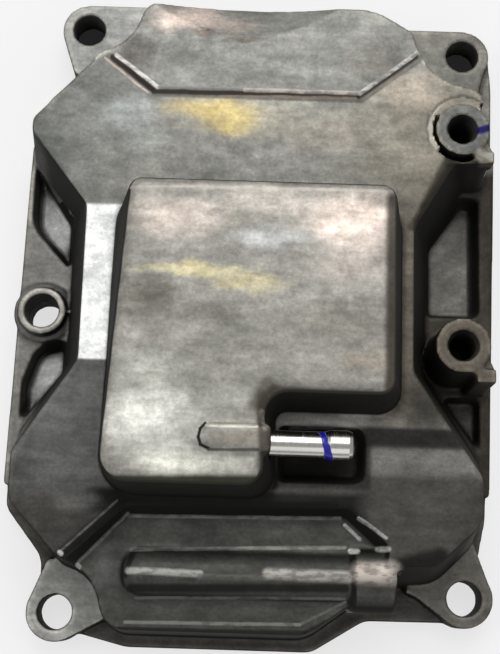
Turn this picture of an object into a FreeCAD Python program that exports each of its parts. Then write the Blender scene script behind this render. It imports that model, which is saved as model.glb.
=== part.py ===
import FreeCAD, Part
import math
import os
from FreeCAD import Vector

# Engine valve cover, in millimetres, +Z up.
# A die-cast aluminium lid with a raised breather box, a pressed-in steel nipple, and the baffle,
# reed valve and oil filter that hang inside it. The sealing face lies at z = 0, and the origin is
# at the middle of the footprint. +Y runs along the cover, towards the raised lobe.

# Levels above the sealing face
FLANGE_Z = 6.0
EAR_Z = 10.0
LAND_Z = 12.0
POCKET_Z = 5.0
LOW_POCKET_Z = 8.0
MID_BOSS_Z = 16.0
PLATFORM_Z = 26.0
LOW_DECK_Z = 31.0
DECK_Z = 32.0
LOBE_FOOT_Z = 32.6
DECK_RISE = 1.4
LEFT_RAMP_Y = -42.0
RIGHT_RAMP = 5.0
LOBE_Z = 34.0
SIDE_BOSS_Z = 32.5
BOX_Z = 47.0

# Walls and draft, as outward run for each millimetre down
WALL = 3.0
WALL_SLOPE = 0.06
NOTCH_SLOPE = 0.27
NOTCH_INNER_SLOPE = 0.15
CORNER_SLOPE = 0.18
CORNER_INNER_SLOPE = 0.12
POCKET_SLOPE = 0.2
POCKET_GAP = 0.4
SHARP_R = 0.5
LEAST_INNER_R = 4.5
FITTED_SHARE = 0.96
FULL_SHARE = 0.999

# Walls of the body, seen from above at deck level
SOUTH_Y = -84.0
NORTH_Y = 79.3
DECK_LEFT_X = -60.0
DECK_RIGHT_X = 58.1
WAIST_LEFT_X = -44.5
WAIST_RIGHT_X = 40.3
WAIST_LEFT_TOP_Y = 23.0
WAIST_LEFT_LOW_Y = -18.0
WAIST_RIGHT_TOP_Y = 20.5
WAIST_RIGHT_LOW_Y = -18.3
BLOCK_RIGHT_X = 60.2
BLOCK_SOUTH_Y = 37.0

# Corner bolts
BOLT_LEFT_X = -49.5
BOLT_RIGHT_X = 56.5
BOLT_LEFT_TOP_Y = 81.5
BOLT_LEFT_LOW_Y = -80.5
BOLT_RIGHT_TOP_Y = 77.0
BOLT_RIGHT_LOW_Y = -74.0
BOLT_HOLE_R = 4.5
EAR_R = 7.6
RELIEF_TOP_R = 17.8
RELIEF_LOW_R = 13.4
RIGHT_TOP_ARC = (263.5, 196.0)
LEFT_TOP_ARC = (-14.2, -72.6)
LEFT_LOW_ARC = (75.0, 15.0)

# Middle bolt boss in the left notch
MID_BOSS_X = -57.0
MID_BOSS_Y = -2.0
MID_BOSS_R = 6.5
MID_COLLAR_R = 7.9
MID_COLLAR_Z = 13.2

# Tapped bosses on the right
SIDE_BOSS_X = 53.0
SIDE_BOSS_TOP_Y = 46.5
SIDE_BOSS_LOW_Y = -11.5
SIDE_BOSS_R = 7.2
THREAD_R = 3.4
THREAD_MOUTH_R = 3.9
THREAD_MOUTH_DEPTH = 1.6
THREAD_DEPTH = 18.0
MOAT_R = 8.8
MOAT_DEPTH = 5.0
TAB_NEAR = 3.2
TAB_FAR = 8.3
TAB_TOP = -6.0
TAB_LOW = -9.4
TAB_STEP = 1.2

# Sealing flange around the body
FLANGE_MARGIN = 4.7
FLANGE_LEFT_TOP_X = -62.9
FLANGE_LEFT_LOW_X = -64.7
FLANGE_RIGHT_TOP_X = 65.4
FLANGE_RIGHT_LOW_X = 62.9
FLANGE_NECK_R = 7.0

# Moulded gasket in its groove
GROOVE_LAND = 1.5
GROOVE_W = 2.6
GROOVE_DEPTH = 2.4

# Steps between the levels
STEP_SLOPE = 1.0
LOW_STEP_SLOPE = 0.5
SCOOP_R = 90.0
SCOOP_X = -4.8
SCOOP_Y = 69.6
SCOOP_TILT = 22.0
SCOOP_REACH = 60.0

# Oil gallery along the platform, with its end boss and cup plug
GALLERY_Y = SOUTH_Y + 13.6
GALLERY_Z = 23.0
GALLERY_R = 6.8
GALLERY_LEFT_X = -32.0
END_BOSS_R = 8.2
END_BOSS_LENGTH = 11.0
END_BOSS_X = 36.8
END_WALL_Y = SOUTH_Y + 8.0
GALLERY_BORE_R = 4.0
GALLERY_FEED_R = 2.0
GALLERY_FEED_X = -14.0
PLUG_R = 5.0
PLUG_DEPTH = 4.0
PLUG_WALL = 0.8
PLUG_INSET = 0.3

# Breather box, given at the level where its top edge starts to round
BOX_LEFT_TOP_X = -32.6
BOX_LEFT_LOW_X = -37.3
BOX_RIGHT_X = 34.7
BOX_STEP_X = 3.2
BOX_NORTH_Y = 26.5
BOX_STEP_Y = -27.3
BOX_SOUTH_Y = -50.1
BOX_INNER_SLOPE = 0.1
BOX_INNER_EDGE_R = 1.5
BOX_EDGE_R = 3.0

# How far the box's walls have run out at its foot, and how the foot flares onto the deck
BOX_RUN_OUT = 2.5
BOX_SOUTH_RUN_OUT = 1.5
BOX_LEFT_TOP_RUN_OUT = 4.0
BOX_LEFT_LOW_RUN_OUT = 0.2
BOX_FLARE = 1.0
FOOT_LOW_R = 9.5
FOOT_SIDE_R = 6.0
FOOT_STEP_R = 3.0
FOOT_TOP_R = 12.5

# Hose relief in the deck, beside the box
RELIEF_RIGHT_X = 28.6
RELIEF_NORTH_Y = -33.3
RELIEF_SOUTH_Y = -47.3
RELIEF_FLOOR_Z = 26.8
RELIEF_SLOPE = 0.3

# Breather nipple
TUBE_Y = -38.7
TUBE_Z = 38.0
TUBE_R = 3.25
TUBE_BORE_R = 2.25
TUBE_INNER_X = -6.0
TUBE_TIP_X = 25.0
BEAD_R = 3.7
BEAD_LENGTH = 7.4
BEAD_TAPER = 1.6
TIP_ROUND = 1.2
SOCKET_R = 5.6
SOCKET_X = -9.0
HUMP_LEFT_X = -12.3
HUMP_RIGHT_X = 4.6
HUMP_W = 6.8
HUMP_Z = 47.9
HUMP_EDGE_R = 1.2

# Baffle that closes the box from below
SEAT_Z = 22.0
SEAT_OUT = 3.4
SEAT_CORNER_R = 2.0
GASKET_T = 0.8
PLATE_T = 1.5
SCREW_IN = 0.5
SCREW_R = 2.0
SCREW_HOLE_R = 2.2
SCREW_HEAD_AF = 7.0
SCREW_HEAD_H = 2.8
SCREW_LENGTH = 8.0
SCREW_DRILL_R = 1.7
SCREW_BOSS_R = 4.0
SCREW_BOSS_Z = 31.0

# Reed valve on the baffle
REED_X = -2.0
PORT_Y = 10.0
PORT_R = 5.0
REED_SCREW_Y = -12.0
REED_W = 14.0
REED_T = 0.3
REED_OVERLAP = 4.0
REED_TAIL = 6.0
REED_CLAMP = 7.0
STOPPER_T = 1.2
STOPPER_LIFT = 5.0
NUT_H = 3.2

# Oil filter pad
FILTER_X = -28.0
FILTER_W = 16.0
FILTER_Y = BOX_SOUTH_Y + WALL + BOX_INNER_EDGE_R
FILTER_L = 17.0
FILTER_CORNER_R = 1.5
FILTER_GAP = 0.2
FILTER_RIB_T = 2.0
FILTER_RIB_DROP = 12.0
DRAIN_R = 1.5

# Stiffening ribs inside
RIB_T = 2.5
LOBE_RIBS_X = (-21.0, 17.0)
LOBE_RIB_Z = 23.5
PLATFORM_RIBS_X = (-20.0, 8.0)
PLATFORM_RIB_Z = 14.5

# How far a cutting shape runs past the face that it opens, and the reach of one that clears the cover
OVER = 1.0
FAR = 130.0

PLATE_TOP_Z = SEAT_Z - GASKET_T
PLATE_Z = PLATE_TOP_Z - PLATE_T
BOX_ROOF_Z = BOX_Z - WALL


def moved_walls(corners, inset, drop):
    """Corners of an outline after each wall moves in by inset and out by its draft over the drop.

    A corner is (x, y, radius, slope of the wall after it). A radius of 0 stays a sharp corner."""
    count = len(corners)
    walls = []
    for i in range(count):
        x, y, radius, slope = corners[i]
        next_x, next_y = corners[(i + 1) % count][:2]
        length = math.hypot(next_x - x, next_y - y)
        ux = (next_x - x) / length
        uy = (next_y - y) / length
        move = inset - slope * drop
        walls.append((x - uy * move, y + ux * move, ux, uy, move))
    moved = []
    for i in range(count):
        ax, ay, aux, auy, a_move = walls[i - 1]
        bx, by, bux, buy, b_move = walls[i]
        turn = aux * buy - auy * bux
        run = ((bx - ax) * buy - (by - ay) * bux) / turn
        shrink = (a_move + b_move) / 2 * math.copysign(1.0, turn)
        radius = max(corners[i][2] - shrink, SHARP_R) if corners[i][2] > 0 else 0.0
        moved.append((ax + aux * run, ay + auy * run, radius))
    return moved


def corner_rays(points, z):
    """Each corner's place, ways back and ahead, half angle, arc reach, and the length of its wall."""
    count = len(points)
    rays = []
    for i in range(count):
        here = Vector(points[i][0], points[i][1], z)
        back = Vector(points[i - 1][0], points[i - 1][1], z) - here
        ahead_point = points[(i + 1) % count]
        ahead = Vector(ahead_point[0], ahead_point[1], z) - here
        length = ahead.Length
        half = back.getAngle(ahead) / 2
        back.normalize()
        ahead.normalize()
        rays.append((here, back, ahead, half, points[i][2] / math.tan(half), length))
    return rays


def arc_share(rays, i, share):
    """How much of a corner's radius fits when two arcs may take this share of the wall between them."""
    reach = rays[i][4]
    before = rays[i - 1]
    after = rays[(i + 1) % len(rays)]
    behind = share * before[5] / max(before[4] + reach, 0.001)
    forward = share * rays[i][5] / max(reach + after[4], 0.001)
    return min(1.0, behind, forward)


def rounded_edges(points, z):
    """Closed chain of edges through (x, y, radius) points, with an arc at each."""
    count = len(points)
    rays = corner_rays(points, z)
    arcs = []
    for i in range(count):
        here, back, ahead, half, reach, length = rays[i]
        reach = reach * arc_share(rays, i, FULL_SHARE)
        radius = reach * math.tan(half)
        middle = here + (back + ahead).normalize() * (radius / math.sin(half) - radius)
        arcs.append((here + back * reach, middle, here + ahead * reach))
    edges = []
    for i in range(count):
        start, middle, end = arcs[i]
        if points[i][2] > 0:
            edges.append(Part.Arc(start, middle, end).toShape())
        edges.append(Part.LineSegment(end, arcs[(i + 1) % count][0]).toShape())
    return edges


def rounded_wire(points, z):
    return Part.Wire(rounded_edges(points, z))


def wall_between(low, high):
    """Wall from an edge of one section to the same edge of the next: a plane, a cone, or a ruled face."""
    a, b = [low.valueAt(t) for t in (low.FirstParameter, low.LastParameter)]
    d, c = [high.valueAt(t) for t in (high.FirstParameter, high.LastParameter)]
    if isinstance(low.Curve, Part.Line):
        if (b - a).cross(c - d).Length > 0.0001:
            return Part.makeRuledSurface(low, high)
        return Part.Face(Part.makePolygon([a, b, c, d, a]))
    centre = low.Curve.Center
    apart = high.Curve.Center - centre
    if math.hypot(apart.x, apart.y) > 0.0001:
        return Part.makeRuledSurface(low, high)
    angle = math.degrees(low.LastParameter - low.FirstParameter)
    return Part.LineSegment(a, d).toShape().revolve(centre, low.Curve.Axis, angle)


def solid_through(sections):
    """Solid through level sections, each a chain of edges like the one below it."""
    faces = [Part.Face(Part.Wire(sections[0])), Part.Face(Part.Wire(sections[-1]))]
    for below, above in zip(sections, sections[1:]):
        for low, high in zip(below, above):
            faces.append(wall_between(low, high))
    skin = Part.makeCompound(faces)
    skin.sewShape()
    solid = Part.makeSolid(skin.Shells[0])
    solid.fixTolerance(0.0001)
    if solid.Volume < 0:
        solid.reverse()
    return solid


def fitted(corners, inset):
    """An outline moved in by inset, with radii that leave a bit of each wall straight."""
    points = moved_walls(corners, inset, 0.0)
    rays = corner_rays(points, 0.0)
    outline = []
    for i in range(len(points)):
        x, y, radius = points[i]
        outline.append((x, y, radius * arc_share(rays, i, FITTED_SHARE), corners[i][3]))
    return outline


def tapered(corners, z_low, z_high, z_outline=None, inset=0.0):
    """Solid whose walls follow the outline at z_outline and run out with their draft below it."""
    level = z_high if z_outline is None else z_outline
    outline = fitted(corners, inset)
    sections = []
    for z in (z_low, z_high):
        sections.append(rounded_edges(moved_walls(outline, 0.0, level - z), z))
    return solid_through(sections)


def dome_sections(outline, z_edge, edge_r, steps):
    """Sections of a rounded top edge, from the level where it starts."""
    sections = []
    for k in range(steps + 1):
        angle = math.radians(90.0 * k / steps)
        inset = edge_r * (1 - math.cos(angle)) * 0.8
        sections.append(rounded_edges(moved_walls(outline, inset, 0.0), z_edge + edge_r * math.sin(angle)))
    return sections


def domed(corners, z_low, z_high, edge_r, inset, steps):
    """Tapered solid with a top edge rounded in a few steps."""
    z_edge = z_high - edge_r
    outline = fitted(corners, inset)
    base = rounded_edges(moved_walls(outline, 0.0, z_edge - z_low), z_low)
    return solid_through([base] + dome_sections(outline, z_edge, edge_r, steps))


def cylinder(x, y, z_low, z_high, radius):
    return Part.makeCylinder(radius, z_high - z_low, Vector(x, y, z_low))


def bar_along_x(x_low, x_high, y, z, radius):
    return Part.makeCylinder(radius, x_high - x_low, Vector(x_low, y, z), Vector(1, 0, 0))


def block(x_low, x_high, y_low, y_high, z_low, z_high):
    return Part.makeBox(x_high - x_low, y_high - y_low, z_high - z_low, Vector(x_low, y_low, z_low))


def plate_of(points, z_low, z_high):
    """Straight-sided slab on a plain polygon."""
    path = [Vector(x, y, z_low) for x, y in points]
    return Part.Face(Part.makePolygon(path + [path[0]])).extrude(Vector(0, 0, z_high - z_low))


def side_profile(points, x_low, x_high):
    """Solid with a profile of (y, z) points, running along X."""
    path = [Vector(x_low, y, z) for y, z in points]
    return Part.Face(Part.makePolygon(path + [path[0]])).extrude(Vector(x_high - x_low, 0, 0))


def relief_corner(hole_x, hole_y, radius, start, end):
    """Corner of an outline whose arc runs round a bolt hole from one angle to another."""
    middle = math.radians((start + end) / 2)
    reach = radius / math.cos(math.radians(abs(start - end) / 2))
    return (hole_x + reach * math.cos(middle), hole_y + reach * math.sin(middle), radius, WALL_SLOPE)


def body_corners(notch_slope, corner_slope):
    """Outline of the body at deck level, anticlockwise from its lower left corner."""
    s = WALL_SLOPE
    n = notch_slope
    c = corner_slope
    return [
        (-34.6, SOUTH_Y, 6.0, s),
        (15.0, SOUTH_Y, 8.0, s),
        (26.0, END_WALL_Y, 3.0, s),
        (END_BOSS_X - 0.8, END_WALL_Y, 2.0, s),
        (END_BOSS_X - 0.8, -67.0, 2.5, c),
        (46.5, -66.5, 5.0, c),
        (DECK_RIGHT_X, -55.5, 8.0, s),
        (DECK_RIGHT_X, -45.5, 4.0, n),
        (WAIST_RIGHT_X, WAIST_RIGHT_LOW_Y, 5.0, n),
        (WAIST_RIGHT_X, WAIST_RIGHT_TOP_Y, 5.0, n),
        (50.0, BLOCK_SOUTH_Y, 2.0, s),
        (BLOCK_RIGHT_X, BLOCK_SOUTH_Y, 1.5, s),
        (BLOCK_RIGHT_X, SIDE_BOSS_TOP_Y, 4.0, s),
        (57.8, 57.5, 4.0, s),
        relief_corner(BOLT_RIGHT_X, BOLT_RIGHT_TOP_Y, RELIEF_TOP_R, *RIGHT_TOP_ARC),
        (39.9, 72.6, 4.0, s),
        (29.5, NORTH_Y - 0.3, 16.0, s),
        (-31.5, NORTH_Y, 6.0, s),
        relief_corner(BOLT_LEFT_X, BOLT_LEFT_TOP_Y, RELIEF_TOP_R, *LEFT_TOP_ARC),
        (-43.2, 64.6, 2.5, s),
        (DECK_LEFT_X, 46.2, 3.0, s),
        (DECK_LEFT_X, 42.6, 3.0, n),
        (WAIST_LEFT_X, WAIST_LEFT_TOP_Y, 2.0, n),
        (WAIST_LEFT_X, WAIST_LEFT_LOW_Y, 2.0, n),
        (DECK_LEFT_X, -42.3, 4.0, s),
        (DECK_LEFT_X, -53.5, 5.0, s),
        (-46.8, -67.3, 2.5, s),
        relief_corner(BOLT_LEFT_X, BOLT_LEFT_LOW_Y, RELIEF_LOW_R, *LEFT_LOW_ARC),
    ]


def deck_region(z_low, grow):
    """Region over the deck, bounded on the north by the lobe's sloped step."""
    corners = [
        (-26.8, 53.4, 1.0, -STEP_SLOPE),
        (-43.8, 62.9, 1.0, 0.0),
        (-FAR, 62.9, 0.0, 0.0),
        (-FAR, -FAR, 0.0, 0.0),
        (FAR, -FAR, 0.0, 0.0),
        (FAR, 65.3, 0.0, 0.0),
        (43.5, 65.3, 1.0, -STEP_SLOPE),
        (25.8, 53.4, 1.0, -STEP_SLOPE),
    ]
    return tapered(corners, z_low, LOBE_Z + 4.0, LOBE_Z, -grow)


def deck_cut(lower):
    """What lies above the deck's slightly tilted panels, lowered by a wall for the inside."""
    north = [(FAR, LOBE_FOOT_Z + DECK_RISE), (WAIST_LEFT_TOP_Y, DECK_Z)]
    south = [(-1.1 * FAR, LOW_DECK_Z), (-1.1 * FAR, 2 * DECK_Z), (FAR, 2 * DECK_Z)]
    left = north + [(WAIST_LEFT_LOW_Y, DECK_Z), (LEFT_RAMP_Y, LOW_DECK_Z)] + south
    right = north + [(RELIEF_NORTH_Y, DECK_Z), (RELIEF_NORTH_Y - RIGHT_RAMP, LOW_DECK_Z)] + south
    halves = []
    for profile, x_low in ((left, -FAR), (right, 0.0)):
        halves.append(side_profile([(y, z - lower) for y, z in profile], x_low, x_low + FAR))
    return deck_region(DECK_Z - 4.0 - lower, lower).common(halves[0].fuse(halves[1]))


def platform_cut(lower):
    """What lies above the lower platform, with its sloped step to the deck."""
    step = -LOW_STEP_SLOPE
    corners = [
        (-30.6, -53.9, 1.0, step),
        (-52.0, -74.1, 1.0, 0.0),
        (-FAR, -74.1, 0.0, 0.0),
        (-FAR, -FAR, 0.0, 0.0),
        (40.0, -FAR, 0.0, 0.0),
    ]
    if lower > 0:
        corners += [(40.0, -66.4, 1.0, step)]
    else:
        corners += [(40.0, -68.2, 1.0, 0.0), (34.5, -68.2, 1.0, 0.0), (34.5, -61.6, 1.0, step)]
    corners += [(24.9, -53.2, 1.0, step)]
    return tapered(corners, PLATFORM_Z - lower, LOBE_Z + 4.0, LOW_DECK_Z, -lower)


def scoop(lower):
    """Shallow cylindrical dip in the lobe, deepest at its north edge."""
    tilt = math.radians(SCOOP_TILT)
    along = Vector(0, math.cos(tilt), -math.sin(tilt))
    up = Vector(0, math.sin(tilt), math.cos(tilt))
    start = Vector(SCOOP_X, SCOOP_Y, LOBE_Z - lower) + up * SCOOP_R - along * SCOOP_REACH
    return Part.makeCylinder(SCOOP_R, 2 * SCOOP_REACH, start, along)


def inner_corners():
    """The body's outline for the hollow and the groove, where only the larger corners are rounded."""
    corners = []
    for x, y, radius, slope in body_corners(NOTCH_INNER_SLOPE, CORNER_INNER_SLOPE):
        corners.append((x, y, radius if radius > LEAST_INNER_R else 0.0, slope))
    return corners


def stepped_body(corners, z_low, inset):
    """Body with its three levels; the same form, a wall smaller, is the hollow inside."""
    solid = tapered(corners, z_low, LOBE_Z - inset, DECK_Z, inset)
    return solid.cut([deck_cut(inset), platform_cut(inset), scoop(inset)])


def flange_corners():
    """Outer contour of the sealing flange, anticlockwise from its lower left."""
    south = SOUTH_Y - FLANGE_MARGIN - 0.2
    north = NORTH_Y + FLANGE_MARGIN + 0.4
    return [
        (-41.5, south + 2.6, 5.0, 0.0),
        (-31.0, south, 8.0, 0.0),
        (17.2, south, 6.0, 0.0),
        (31.0, END_WALL_Y - FLANGE_MARGIN + 0.3, 6.0, 0.0),
        (60.7, END_WALL_Y - FLANGE_MARGIN + 0.5, 4.0, 0.0),
        (60.7, -64.0, FLANGE_NECK_R, 0.0),
        (FLANGE_RIGHT_LOW_X, -53.0, 12.0, 0.0),
        (FLANGE_RIGHT_TOP_X, 68.0, 12.0, 0.0),
        (BOLT_RIGHT_X + EAR_R, BOLT_RIGHT_TOP_Y + EAR_R, EAR_R, 0.0),
        (-27.0, north, 6.0, 0.0),
        (-33.0, BOLT_LEFT_TOP_Y + EAR_R, 4.0, 0.0),
        (BOLT_LEFT_X - EAR_R, BOLT_LEFT_TOP_Y + EAR_R, EAR_R, 0.0),
        (-53.0, 68.0, FLANGE_NECK_R, 0.0),
        (FLANGE_LEFT_TOP_X, 49.0, 4.0, 0.0),
        (FLANGE_LEFT_LOW_X, -53.6, 6.0, 0.0),
        (-54.4, -66.5, FLANGE_NECK_R, 0.0),
        (-54.4, -83.0, 4.0, 0.0),
    ]


def ear(hole_x, hole_y, web):
    """Raised pad round a corner bolt, joined to the body by a web."""
    return cylinder(hole_x, hole_y, 0, EAR_Z, EAR_R).fuse(plate_of(web, FLANGE_Z - 1.0, EAR_Z))


def ears():
    top_left = [(-53.2, 68.6), (-43.0, 62.0), (-28.0, 76.0), (-33.0, BOLT_LEFT_TOP_Y + EAR_R)]
    top_left += [(BOLT_LEFT_X, BOLT_LEFT_TOP_Y + EAR_R), (BOLT_LEFT_X - EAR_R + 0.3, BOLT_LEFT_TOP_Y - 2.0)]
    low_left = [(-52.2, -67.0), (BOLT_LEFT_X - EAR_R + 0.5, BOLT_LEFT_LOW_Y + 2.6)]
    low_left += [(BOLT_LEFT_X + 3.4, BOLT_LEFT_LOW_Y - EAR_R + 0.8), (-35.6, -81.5), (-38.0, -66.0)]
    low_right = [(41.0, -72.8), (43.8, -73.9), (BOLT_RIGHT_X - 5.2, BOLT_RIGHT_LOW_Y - 5.4)]
    low_right += [(BOLT_RIGHT_X + EAR_R - 0.1, BOLT_RIGHT_LOW_Y + 1.2), (60.7, -64.0), (58.5, -58.0)]
    low_right += [(46.0, -62.0)]
    top_right = [(BOLT_RIGHT_X + EAR_R - 0.1, BOLT_RIGHT_TOP_Y + 1.2)]
    top_right += [(BOLT_RIGHT_X, BOLT_RIGHT_TOP_Y + EAR_R), (36.0, BOLT_RIGHT_TOP_Y + EAR_R)]
    top_right += [(36.0, 66.0), (50.0, 54.0), (60.2, 62.0)]
    return [
        ear(BOLT_LEFT_X, BOLT_LEFT_TOP_Y, top_left[::-1]),
        ear(BOLT_LEFT_X, BOLT_LEFT_LOW_Y, low_left),
        ear(BOLT_RIGHT_X, BOLT_RIGHT_LOW_Y, low_right),
        ear(BOLT_RIGHT_X, BOLT_RIGHT_TOP_Y, top_right),
    ]


def side_lands():
    """Solid lands in the two notches, from the flange up to the rim."""
    left = [(FLANGE_LEFT_TOP_X, 46.0), (FLANGE_LEFT_LOW_X, -48.0), (-56.0, -50.0), (-38.0, -18.0)]
    left += [(-38.0, 22.0), (-54.0, 48.0)]
    right = [(FLANGE_RIGHT_LOW_X + 0.1, -48.0), (FLANGE_RIGHT_TOP_X - 0.4, 48.0), (50.0, 44.0), (38.0, 22.0)]
    right += [(38.0, -18.0), (54.0, -46.0)]
    return [plate_of(left, 0, LAND_Z), plate_of(right, 0, LAND_Z)]


def pockets():
    """Lightening pockets sunk into the lands, with drafted walls."""
    s = -POCKET_SLOPE
    rim_left = FLANGE_LEFT_TOP_X + 1.2
    rim_right = FLANGE_RIGHT_LOW_X - 2.5
    foot_run = (DECK_Z - LAND_Z) * NOTCH_SLOPE
    foot_left = WAIST_LEFT_X - foot_run - POCKET_GAP
    foot_right = WAIST_RIGHT_X + foot_run + POCKET_GAP
    upper_left = [(rim_left, 41.5, 0.0), (rim_left, 22.5, 9.0), (foot_left, 10.0, 0.0)]
    upper_left += [(foot_left, WAIST_LEFT_TOP_Y + 2.0, 4.0)]
    lower_left = [(rim_left, -32.5, 0.0), (foot_left, WAIST_LEFT_LOW_Y + 0.5, 2.0)]
    lower_left += [(foot_left, -9.0, 0.0), (-58.6, -11.2, 6.0), (rim_left, -21.0, 6.0)]
    upper_right = [(foot_right, 0.5, 0.0), (rim_right, 0.5, 2.0), (rim_right, 34.3, 2.0), (55.4, 34.3, 0.0)]
    upper_right += [(foot_right, WAIST_RIGHT_TOP_Y + 0.5, 4.0)]
    lower_right = [(rim_right, -36.5, 0.0), (rim_right, -21.6, 2.0), (50.0, -21.6, 0.0)]
    floors = [(upper_left, POCKET_Z), (lower_left, POCKET_Z), (upper_right, POCKET_Z)]
    cutters = []
    for points, floor in floors + [(lower_right, LOW_POCKET_Z)]:
        corners = [(x, y, r, s) for x, y, r in points]
        cutters.append(tapered(corners, floor, LAND_Z + 6.0, LAND_Z))
    return cutters


def side_boss(y, z_low):
    """Tapped boss with the stop tab that keeps its bracket from turning."""
    x = SIDE_BOSS_X
    solid = cylinder(x, y, z_low, SIDE_BOSS_Z, SIDE_BOSS_R)
    tab = block(x + TAB_NEAR, x + TAB_FAR, y + TAB_LOW, y + TAB_TOP, z_low, SIDE_BOSS_Z)
    neck = [(x + 1.5, y - 6.0), (x + TAB_FAR, y + TAB_TOP - 0.5), (x + TAB_FAR - 2.2, y - 1.0)]
    return solid.fuse([tab, plate_of(neck, z_low, SIDE_BOSS_Z - TAB_STEP)])


def side_thread(y):
    """Blind tapped hole with a small counterbore at its mouth."""
    drill = cylinder(SIDE_BOSS_X, y, SIDE_BOSS_Z - THREAD_DEPTH, SIDE_BOSS_Z + 1.0, THREAD_R)
    mouth = cylinder(SIDE_BOSS_X, y, SIDE_BOSS_Z - THREAD_MOUTH_DEPTH, SIDE_BOSS_Z + 1.0, THREAD_MOUTH_R)
    return [drill, mouth]


def box_corners(slope):
    """Breather box outline, an L, anticlockwise from its lower left corner."""
    return [
        (BOX_LEFT_LOW_X, BOX_SOUTH_Y, 7.0, slope),
        (BOX_STEP_X, BOX_SOUTH_Y, 5.0, slope),
        (BOX_STEP_X, BOX_STEP_Y, 5.5, slope),
        (BOX_RIGHT_X, BOX_STEP_Y, 4.0, slope),
        (BOX_RIGHT_X, BOX_NORTH_Y, 4.0, slope),
        (BOX_LEFT_TOP_X, BOX_NORTH_Y, 3.5, slope),
    ]


def foot_corners():
    """The same outline where the box meets the deck, with far rounder corners on the north."""
    run = BOX_RUN_OUT
    south = BOX_SOUTH_Y - BOX_SOUTH_RUN_OUT
    return [
        (BOX_LEFT_LOW_X - BOX_LEFT_LOW_RUN_OUT, south, FOOT_LOW_R, 0.0),
        (BOX_STEP_X + run, south, FOOT_SIDE_R, 0.0),
        (BOX_STEP_X + run, BOX_STEP_Y - run, FOOT_STEP_R, 0.0),
        (BOX_RIGHT_X + run, BOX_STEP_Y - run, FOOT_SIDE_R, 0.0),
        (BOX_RIGHT_X + run, BOX_NORTH_Y + run, FOOT_TOP_R, 0.0),
        (BOX_LEFT_TOP_X - BOX_LEFT_TOP_RUN_OUT, BOX_NORTH_Y + run, FOOT_TOP_R, 0.0),
    ]


def breather_box():
    """Outer skin of the box: a flared foot, leaning walls and a rounded top edge."""
    foot = fitted(foot_corners(), 0.0)
    z_foot = LOW_DECK_Z - BOX_FLARE / 2
    sections = [rounded_edges(moved_walls(foot, -BOX_FLARE, 0.0), z_foot)]
    sections.append(rounded_edges(moved_walls(foot, 0.0, 0.0), z_foot + 1.5 * BOX_FLARE))
    top = dome_sections(fitted(box_corners(0.0), 0.0), BOX_Z - BOX_EDGE_R, BOX_EDGE_R, 2)
    return solid_through(sections + top)


def seat_outline():
    """Outline of the baffle's seat, plate and gasket."""
    seat = []
    for x, y, radius in moved_walls(box_corners(0.0), -SEAT_OUT, 0.0):
        seat.append((x, y, SEAT_CORNER_R, 0.0))
    return seat


def baffle_screw_places():
    """One screw at each outer corner of the L."""
    places = []
    for index, point in enumerate(moved_walls(box_corners(0.0), SCREW_IN, 0.0)):
        if index != 2:
            places.append(point[:2])
    return places


def chamber():
    """Hollow of the breather box, open to the seat below it."""
    return domed(box_corners(BOX_INNER_SLOPE), SEAT_Z - OVER, BOX_ROOF_Z, BOX_INNER_EDGE_R, WALL, 1)


def hump():
    """Low bar on the box top that thickens the roof over the nipple's socket."""
    half = HUMP_W / 2
    corners = [
        (HUMP_LEFT_X, TUBE_Y - half, half - 0.2, 0.0),
        (HUMP_RIGHT_X, TUBE_Y - half, 1.0, 0.0),
        (HUMP_RIGHT_X, TUBE_Y + half, 1.0, 0.0),
        (HUMP_LEFT_X, TUBE_Y + half, half - 0.2, 0.0),
    ]
    return domed(corners, TUBE_Z, HUMP_Z, HUMP_EDGE_R, 0.0, 2)


def relief():
    """Pocket in the deck that leaves room for the hose on the nipple."""
    left = BOX_STEP_X + BOX_RUN_OUT + BOX_FLARE
    s = -RELIEF_SLOPE
    corners = [
        (left, RELIEF_SOUTH_Y, 0.0, s),
        (RELIEF_RIGHT_X, RELIEF_SOUTH_Y, 3.0, s),
        (RELIEF_RIGHT_X, RELIEF_NORTH_Y, 3.0, s),
        (left, RELIEF_NORTH_Y, 0.0, s),
    ]
    return tapered(corners, RELIEF_FLOOR_Z, DECK_Z + 2.0, DECK_Z)


def inside_ribs():
    """Stiffening ribs under the lobe and the platform."""
    ribs = []
    for x in LOBE_RIBS_X:
        ribs.append(block(x, x + RIB_T, BOX_NORTH_Y, NORTH_Y, LOBE_RIB_Z, DECK_Z - OVER))
    for x in PLATFORM_RIBS_X:
        ribs.append(block(x, x + RIB_T, SOUTH_Y + OVER, GALLERY_Y, PLATFORM_RIB_Z, PLATFORM_Z - OVER))
    return ribs


def groove_ring():
    """Ring under the flange that the moulded gasket fills, flush with the sealing face."""
    inner_edge = WALL - GROOVE_LAND
    rings = []
    for inset in (inner_edge, inner_edge - GROOVE_W):
        wire = rounded_wire(moved_walls(inner_corners(), inset, DECK_Z), 0.0)
        rings.append(Part.Face(wire).extrude(Vector(0, 0, GROOVE_DEPTH)))
    return rings[1].cut(rings[0])


def gallery():
    """Round gallery with a blunt left end and a larger boss at its right end."""
    r = GALLERY_R
    left = GALLERY_LEFT_X
    profile = [(left, 0.0), (left, r * 0.45), (left + r * 0.25, r * 0.8), (left + r * 0.75, r)]
    profile.append((END_BOSS_X, r))
    path = [Vector(x, GALLERY_Y + radius, GALLERY_Z) for x, radius in profile]
    path.append(Vector(END_BOSS_X, GALLERY_Y, GALLERY_Z))
    face = Part.Face(Part.makePolygon(path + [path[0]]))
    solid = face.revolve(path[0], Vector(1, 0, 0), 360)
    boss = bar_along_x(END_BOSS_X - END_BOSS_LENGTH, END_BOSS_X, GALLERY_Y, GALLERY_Z, END_BOSS_R)
    return solid.fuse(boss.makeChamfer(0.6, [boss.Edges[0], boss.Edges[2]]))


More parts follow.
